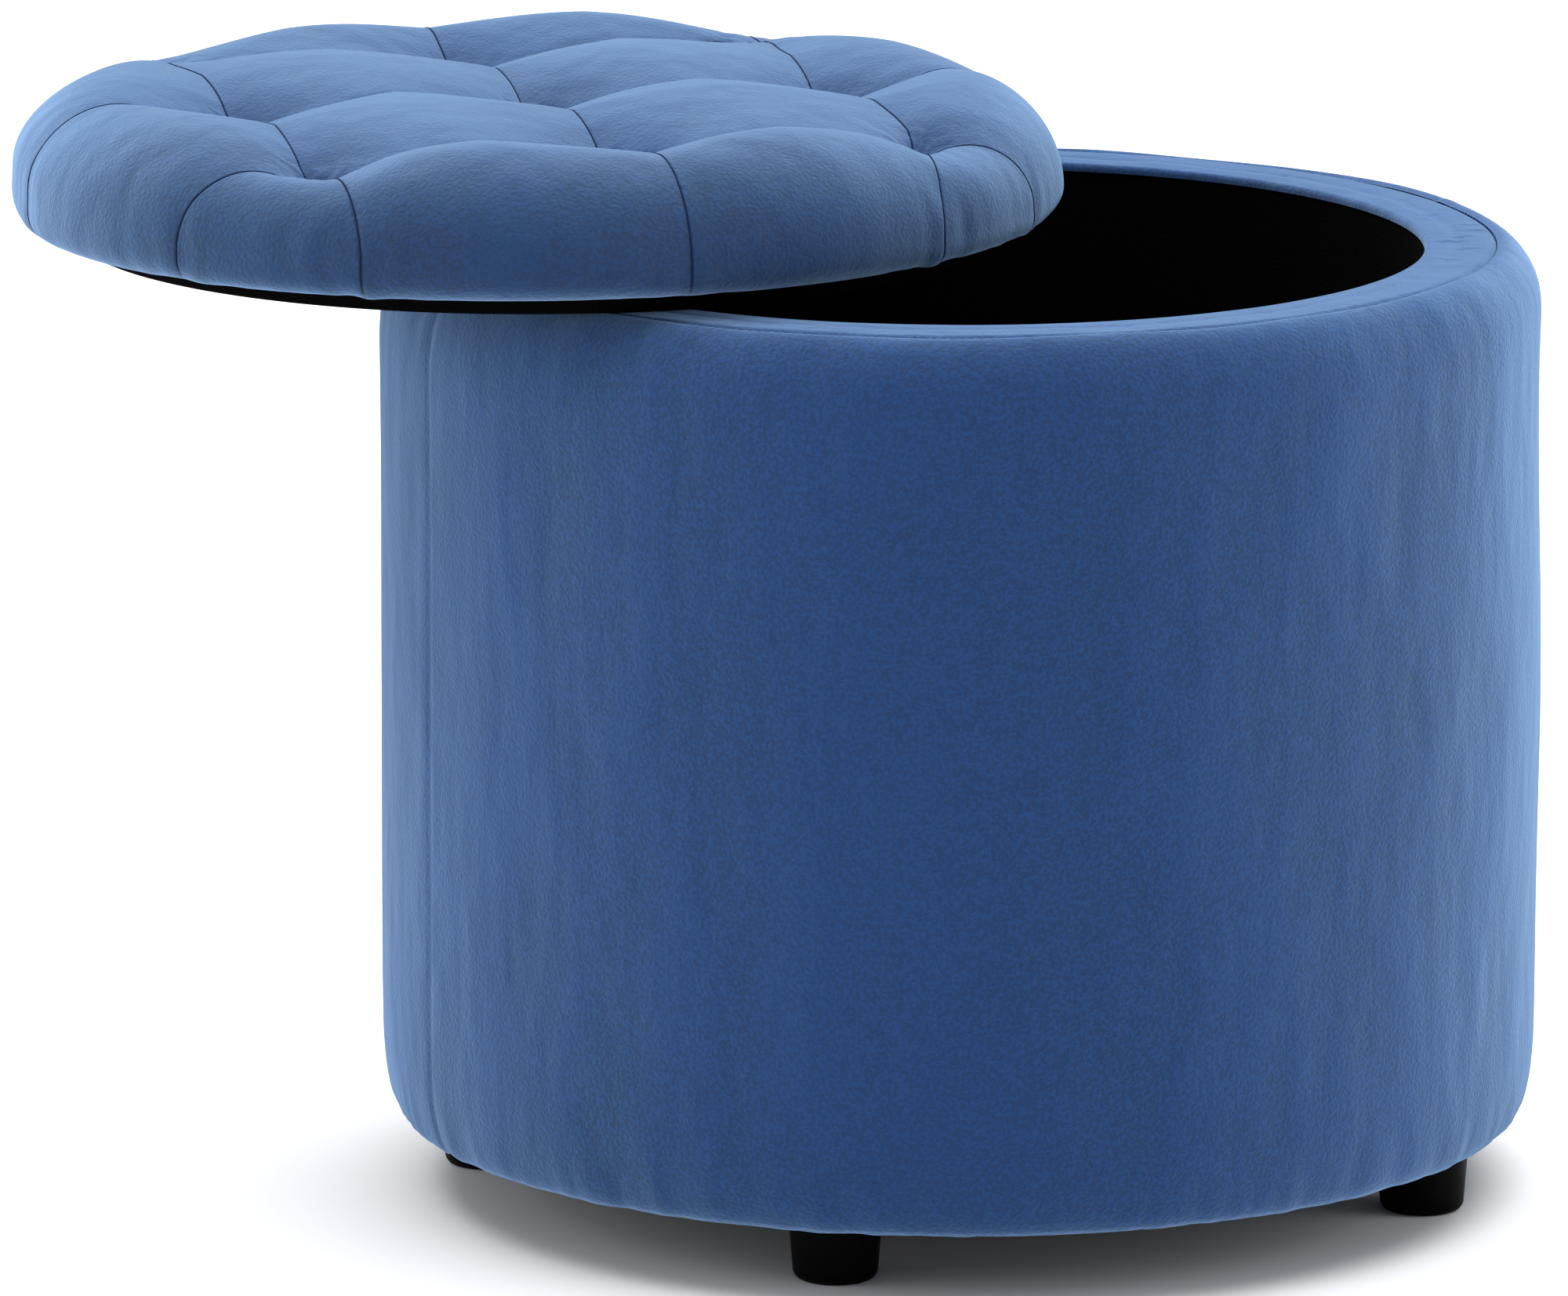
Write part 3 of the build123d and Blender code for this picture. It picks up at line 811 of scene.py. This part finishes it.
def lid_filling(theta, r, z, on_top):
    """Where the padding is thinner or uneven: the back, the left side and all over."""
    out = -BACK_THIN * smooth((r * np.sin(theta) - BACK_FROM_Y) / BACK_BAND) * on_top
    left = bell(turned(theta, pi), 0.0, LEFT_FLAT_SPREAD)
    out -= LEFT_FLAT * left * bell(z, LEFT_FLAT_H, LEFT_FLAT_BAND)
    places = round_points(0.0, 0.0, theta, r, z)
    uneven = waves(places, seed=5, size=FILL_UNEVEN_SIZE, octaves=1)
    return out + FILL_UNEVEN * uneven * smooth(z / LID_BULGE)


def lid_velvet():
    """The tufted cover: nine deep blind tufts, sewn valleys between them, sixteen pillows.

    Gives the object, its rings of points, and the radius in plan that each ring's tufting was
    read at.
    """
    line, way, _ = resample(lid_profile(), LID_STEP)
    line[0, 0] = CROWN_R
    r, z, theta = spin(line)
    # past the widest ring the seams run straight down, so the plan is read at that ring
    plan = np.maximum.accumulate(r, axis=0)
    a, b = grid_position(plan * np.cos(theta), plan * np.sin(theta))
    climb = np.clip((z - LID_BULGE) / (LID_H - LID_BULGE), 0, 1)
    on_top = smooth(climb * 1.4)
    depth = FUNNEL_ON_SIDE + (1 - FUNNEL_ON_SIDE) * smooth(climb) ** 1.5
    under = FUNNEL_ON_SIDE * np.clip(z / LID_BULGE, 0, 1)
    depth = np.where(z < LID_BULGE, under, depth)
    places = round_points(0.0, 0.0, theta, r, z)
    slack = waves(places * (1, 1, 0.35), seed=6, size=PUCKER_SIZE, octaves=2)
    # the valleys run out towards the edge, where only the tufts still pull
    fade = VALLEY_FADE * smooth((plan - VALLEY_FADE_R) / VALLEY_FADE_BAND)
    valley = VALLEY * (1 - fade) * smooth(z / LID_BULGE)
    out = lid_filling(theta, r, z, on_top) - tufting(a, b, valley, depth, on_top, slack)
    # this profile runs downwards, so out of the lid is to its left
    r, z = pushed(r, z, way, -out)
    free = smooth((LID_BULGE - z) / LID_BULGE) * smooth((r - HANG_FROM_R) / HANG_BAND)
    z = z - HANG * np.cos(theta - HANG_ANGLE) * free
    rings = round_points(LID_X, LID_Y, theta, r, LID_Z + z)
    uv = np.stack([a, b], axis=-1)
    return grid_object("lid_velvet", rings[::-1], uv[::-1]), rings, plan[:, 0]


def on_lid(rings, row, theta):
    """Points of the cover at a ring number and compass angle, read between its corners."""
    steps = rings.shape[1]
    column = (theta % (2 * pi)) / (2 * pi) * steps
    row = np.clip(row, 0, len(rings) - 1.001)
    i = row.astype(int)
    j = column.astype(int)
    f = (row - i)[:, None]
    g = (column - j)[:, None]
    near = rings[i, j % steps] * (1 - g) + rings[i, (j + 1) % steps] * g
    far = rings[i + 1, j % steps] * (1 - g) + rings[i + 1, (j + 1) % steps] * g
    return near * (1 - f) + far * f


def seam_route(held_axis, held, plan, widest):
    """Ring numbers and compass angles along one sewn line, down the side at both ends."""
    run = np.linspace(-2.0, 2.0, THREAD_PLACES)
    fixed = np.full_like(run, held)
    x, y = plan_position(fixed, run) if held_axis == 0 else plan_position(run, fixed)
    inside = np.hypot(x, y) < plan[widest] * 0.9995
    x, y = x[inside], y[inside]
    row = np.interp(np.hypot(x, y), plan[: widest + 1], np.arange(widest + 1))
    theta = np.arctan2(y, x)
    down = np.arange(row[0] + 0.5, widest + THREAD_ROWS_UNDER)
    row = np.concatenate([down[::-1], row, down])
    theta = np.pad(theta, len(down), mode="edge")
    return row, theta


def seam_thread(path):
    """Corners and faces of a fine thread along a path on the lid, thinner at both ends."""
    along = unit(np.gradient(path, axis=0))
    # off the cover is up, and outward where the path runs down the side
    outward = unit((path - (LID_X, LID_Y, LID_Z)) * (1, 1, 0))
    across = unit(np.cross(along, 0.5 * outward + (0.0, 0.0, 1.0)))
    lift = np.cross(across, along)
    from_start = np.arange(len(path))
    from_end = from_start[::-1]
    thickness = np.minimum(1.0, 0.3 + 0.2 * np.minimum(from_start, from_end))
    turn = (2 * pi * np.arange(THREAD_SIDES) / THREAD_SIDES)[None, :, None]
    off = np.cos(turn) * across[:, None, :] + np.sin(turn) * lift[:, None, :]
    corners = path[:, None, :] + THREAD_R * thickness[:, None, None] * off
    return corners.reshape(-1, 3), tube_faces(len(path), THREAD_SIDES)


def lid_seams(rings, plan):
    """The sewn lines of the tufting: a dark thread line lying along each of the six seams."""
    widest = int(np.argmax(plan))
    threads = []
    for held_axis in (0, 1):
        for held in (-1.0, 0.0, 1.0):
            row, theta = seam_route(held_axis, held, plan, widest)
            threads.append(seam_thread(on_lid(rings, row, theta)))
    return thread_object("lid_seams", threads)


# ================= stage =================


def floor():
    """A plain pale floor."""
    s = FLOOR_HALF
    mesh = bpy.data.meshes.new("floor")
    mesh.from_pydata([(-s, -s, 0), (s, -s, 0), (s, s, 0), (-s, s, 0)], [], [(0, 1, 2, 3)])
    obj = new_object("floor", mesh)
    obj.data.materials.append(floor_material())


def area_light(name, place, side, power):
    """A square soft box pointed at the ottoman."""
    light = bpy.data.lights.new(name, "AREA")
    light.shape = "SQUARE"
    light.size = side
    light.energy = power
    obj = new_object(name, light)
    obj.location = place
    way = Vector(LIGHT_AIM) - Vector(place)
    obj.rotation_euler = way.to_track_quat("-Z", "Y").to_euler()


def studio():
    """A wide soft box overhead, one at each side, and a white surround."""
    world = bpy.data.worlds.new("studio")
    world.use_nodes = True
    back = world.node_tree.nodes["Background"]
    back.inputs["Color"].default_value = (1.0, 1.0, 1.0, 1.0)
    back.inputs["Strength"].default_value = SURROUND_STRENGTH
    bpy.context.scene.world = world
    bpy.context.scene.view_settings.view_transform = "Standard"
    for name, place, side, power in SOFT_BOXES:
        area_light(name, place, side, power)


def camera():
    """A long lens above the rim, looking down a little and turned slightly to the left."""
    data = bpy.data.cameras.new("camera")
    data.sensor_width = SENSOR_MM
    data.lens = LENS_MM
    data.clip_end = 100.0
    obj = new_object("camera", data)
    obj.location = (DRUM_X, DRUM_Y - CAMERA_BACK, DRUM_Z + CAMERA_UP)
    obj.rotation_euler = (pi / 2 - CAMERA_TILT, 0.0, CAMERA_PAN)
    bpy.context.scene.camera = obj


# ================= put together =================

drum_blue = velvet_material("blue_velvet", DRUM_SHEEN)
lid_blue = velvet_material("blue_velvet_tufted", LID_SHEEN, seams=True)
thread = thread_material()

panel = side_panel()
panel.data.materials.append(drum_blue)
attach(panel, "base")
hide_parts("side_cover", "side_foam")

ring = rim_ring()
ring.data.materials.append(drum_blue)
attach(ring, "base")
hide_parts("rim_cover", "rim_foam")

stitches = rim_stitches()
stitches.data.materials.append(thread)
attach(stitches, "base")

lid, lid_rings, lid_plan = lid_velvet()
lid.data.materials.append(lid_blue)
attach(lid, "lid")
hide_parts("lid_cover", "lid_foam")

seams = lid_seams(lid_rings, lid_plan)
seams.data.materials.append(thread)
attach(seams, "lid")

# the CAD's own pieces, by the material that each is dressed in
DRESSED = (
    (lining_material(), ("inner_lining", "floor_lining", "dust_cover", "plug_cover")),
    (plastic_material(), ("foot_front", "foot_right", "foot_back", "foot_left")),
    (steel_material(), ("batten_screws", "foot_bolts", "foot_nuts", "base_staples",
                        "liner_staples", "lid_staples", "plug_screws", "tuft_washers")),
    (wood_material("fibreboard", FIBREBOARD_COLOURS, finer=(1.0, 9.0, 1.0)),
     ("bottom_board", "base_hoop", "top_hoop", "lid_plug")),
    (wood_material("plywood", PLYWOOD_COLOURS, finer=(1.0, 9.0, 1.0)),
     ("barrel_skin", "lid_board")),
    (wood_material("pine", PINE_COLOURS, finer=(1.0, 1.0, 12.0)), ("battens",)),
    (card_material(), ("liner_card",)),
    (thread, ("tuft_twines",)),
)
for mat, nodes in DRESSED:
    for node in nodes:
        dress(node, mat)

floor()
studio()
camera()
